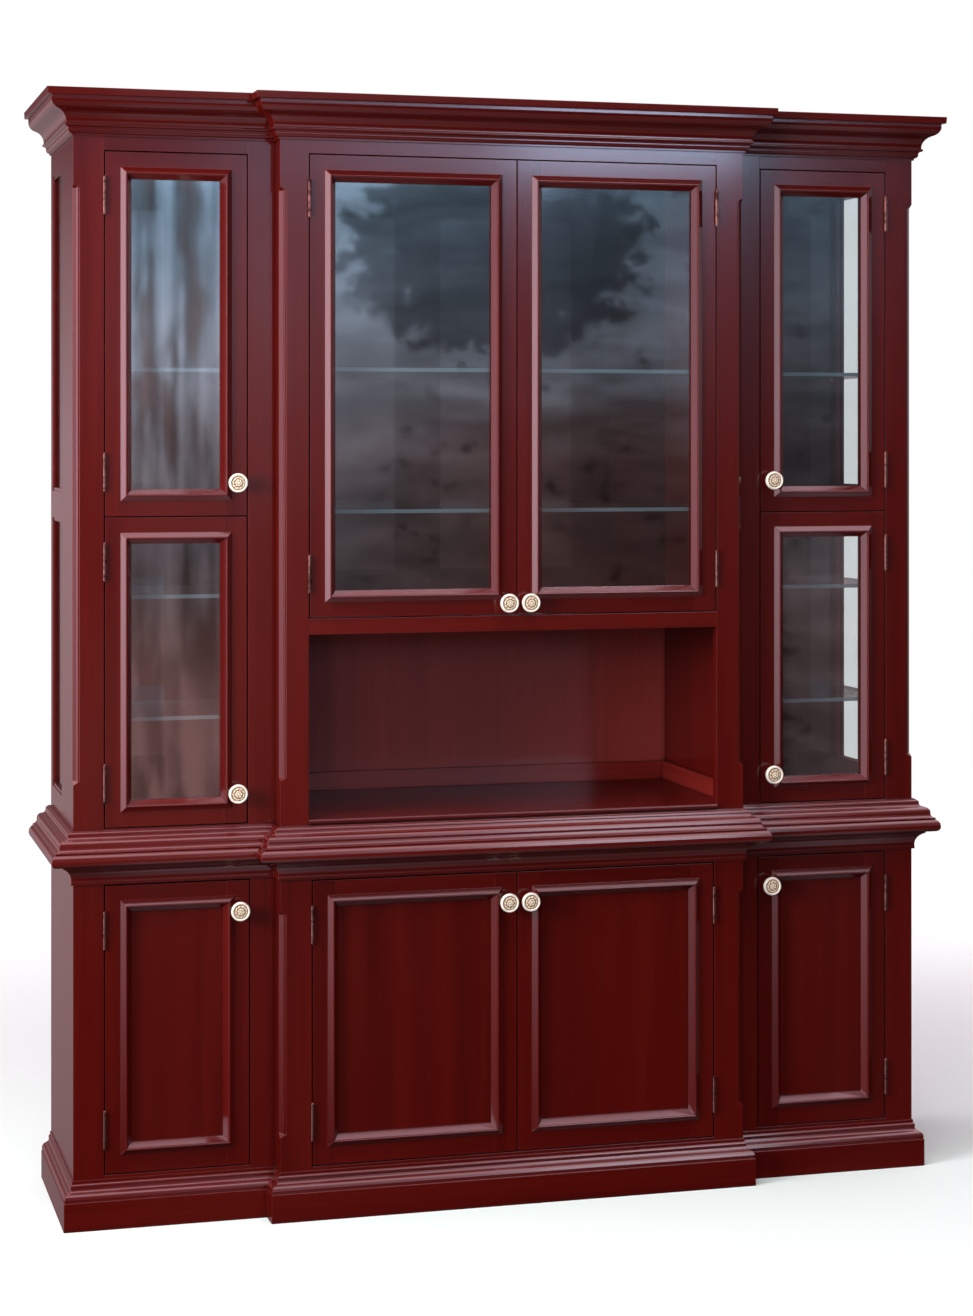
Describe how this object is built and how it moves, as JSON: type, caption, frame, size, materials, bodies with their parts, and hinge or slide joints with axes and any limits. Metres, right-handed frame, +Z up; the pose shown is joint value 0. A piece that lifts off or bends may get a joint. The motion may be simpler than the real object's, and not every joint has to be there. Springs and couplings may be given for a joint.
{
  "type": "display cabinet",
  "caption": "Tall breakfront display cabinet in glossy dark red wood: panelled cupboards below, an open niche and glazed cupboards above.",
  "frame": {"origin": "on the floor under the middle of the cabinet's box", "axes": "+X to the viewer's right, +Y from the front to the back, +Z up"},
  "size_m": [1.953, 0.514, 2.3],
  "materials": {
    "lacquered_wood": "gloss lacquer over dark red mahogany",
    "back_wood": "satin red-brown stain",
    "inside_wood": "satin red-brown stain",
    "door_glass": "clear polished",
    "end_glass": "clear polished",
    "shelf_glass": "clear, greenish polished edges",
    "mirror": "silvered glass, slightly grey",
    "knob": "cream glaze with golden relief",
    "brass": "polished, slightly coppery"
  },
  "bodies": {
    "case": {"base_carcass": "lacquered_wood", "base_face_frame": "lacquered_wood", "base_shelves_and_cleats": "inside_wood", "counter_top": "lacquered_wood", "plinth": "lacquered_wood", "counter_cove": "lacquered_wood", "hutch_foot_moulding": "lacquered_wood", "cornice": "lacquered_wood", "hutch_face_frame": "lacquered_wood", "hutch_ends": "lacquered_wood", "hutch_end_panes": "end_glass", "hutch_partitions": "lacquered_wood", "hutch_decks": "lacquered_wood", "back_panels": "back_wood", "mirror_backs": "mirror", "niche_lining": "lacquered_wood", "glass_shelves": "shelf_glass", "shelf_pegs": "brass", "case_hinges": "brass", "door_catches": "brass"},
    "hutch_left_upper_door": {"hutch_left_upper_frame": "lacquered_wood", "hutch_left_upper_glass": "door_glass", "hutch_left_upper_knob": "knob", "hutch_left_upper_fittings": "brass"},
    "hutch_left_lower_door": {"hutch_left_lower_frame": "lacquered_wood", "hutch_left_lower_glass": "door_glass", "hutch_left_lower_knob": "knob", "hutch_left_lower_fittings": "brass"},
    "hutch_centre_left_door": {"hutch_centre_left_frame": "lacquered_wood", "hutch_centre_left_glass": "door_glass", "hutch_centre_left_knob": "knob", "hutch_centre_left_fittings": "brass"},
    "base_left_door": {"base_left_frame": "lacquered_wood", "base_left_panel": "lacquered_wood", "base_left_knob": "knob", "base_left_fittings": "brass"},
    "base_centre_left_door": {"base_centre_left_frame": "lacquered_wood", "base_centre_left_panel": "lacquered_wood", "base_centre_left_knob": "knob", "base_centre_left_fittings": "brass"},
    "hutch_right_upper_door": {"hutch_right_upper_frame": "lacquered_wood", "hutch_right_upper_glass": "door_glass", "hutch_right_upper_knob": "knob", "hutch_right_upper_fittings": "brass"},
    "hutch_right_lower_door": {"hutch_right_lower_frame": "lacquered_wood", "hutch_right_lower_glass": "door_glass", "hutch_right_lower_knob": "knob", "hutch_right_lower_fittings": "brass"},
    "hutch_centre_right_door": {"hutch_centre_right_frame": "lacquered_wood", "hutch_centre_right_glass": "door_glass", "hutch_centre_right_knob": "knob", "hutch_centre_right_fittings": "brass"},
    "base_right_door": {"base_right_frame": "lacquered_wood", "base_right_panel": "lacquered_wood", "base_right_knob": "knob", "base_right_fittings": "brass"},
    "base_centre_right_door": {"base_centre_right_frame": "lacquered_wood", "base_centre_right_panel": "lacquered_wood", "base_centre_right_knob": "knob", "base_centre_right_fittings": "brass"}
  },
  "joints": [
    {"name": "hutch_left_upper_hinge", "type": "hinge", "parent": "case", "child": "hutch_left_upper_door", "pos_m": [-0.8552, -0.1528, 1.80975], "axis": [0, 0, -1], "range_deg": [0, 110]},
    {"name": "hutch_left_lower_hinge", "type": "hinge", "parent": "case", "child": "hutch_left_lower_door", "pos_m": [-0.8552, -0.1528, 1.122], "axis": [0, 0, -1], "range_deg": [0, 110]},
    {"name": "hutch_centre_left_hinge", "type": "hinge", "parent": "case", "child": "hutch_centre_left_door", "pos_m": [-0.4427, -0.2028, 1.7045], "axis": [0, 0, -1], "range_deg": [0, 110]},
    {"name": "base_left_hinge", "type": "hinge", "parent": "case", "child": "base_left_door", "pos_m": [-0.8552, -0.1528, 0.399], "axis": [0, 0, -1], "range_deg": [0, 110]},
    {"name": "base_centre_left_hinge", "type": "hinge", "parent": "case", "child": "base_centre_left_door", "pos_m": [-0.4367, -0.2028, 0.399], "axis": [0, 0, -1], "range_deg": [0, 110]},
    {"name": "hutch_right_upper_hinge", "type": "hinge", "parent": "case", "child": "hutch_right_upper_door", "pos_m": [0.8552, -0.1528, 1.80975], "axis": [0, 0, 1], "range_deg": [0, 110]},
    {"name": "hutch_right_lower_hinge", "type": "hinge", "parent": "case", "child": "hutch_right_lower_door", "pos_m": [0.8552, -0.1528, 1.122], "axis": [0, 0, 1], "range_deg": [0, 110]},
    {"name": "hutch_centre_right_hinge", "type": "hinge", "parent": "case", "child": "hutch_centre_right_door", "pos_m": [0.4427, -0.2028, 1.7045], "axis": [0, 0, 1], "range_deg": [0, 110]},
    {"name": "base_right_hinge", "type": "hinge", "parent": "case", "child": "base_right_door", "pos_m": [0.8552, -0.1528, 0.399], "axis": [0, 0, 1], "range_deg": [0, 110]},
    {"name": "base_centre_right_hinge", "type": "hinge", "parent": "case", "child": "base_centre_right_door", "pos_m": [0.4367, -0.2028, 0.399], "axis": [0, 0, 1], "range_deg": [0, 110]}
  ]
}
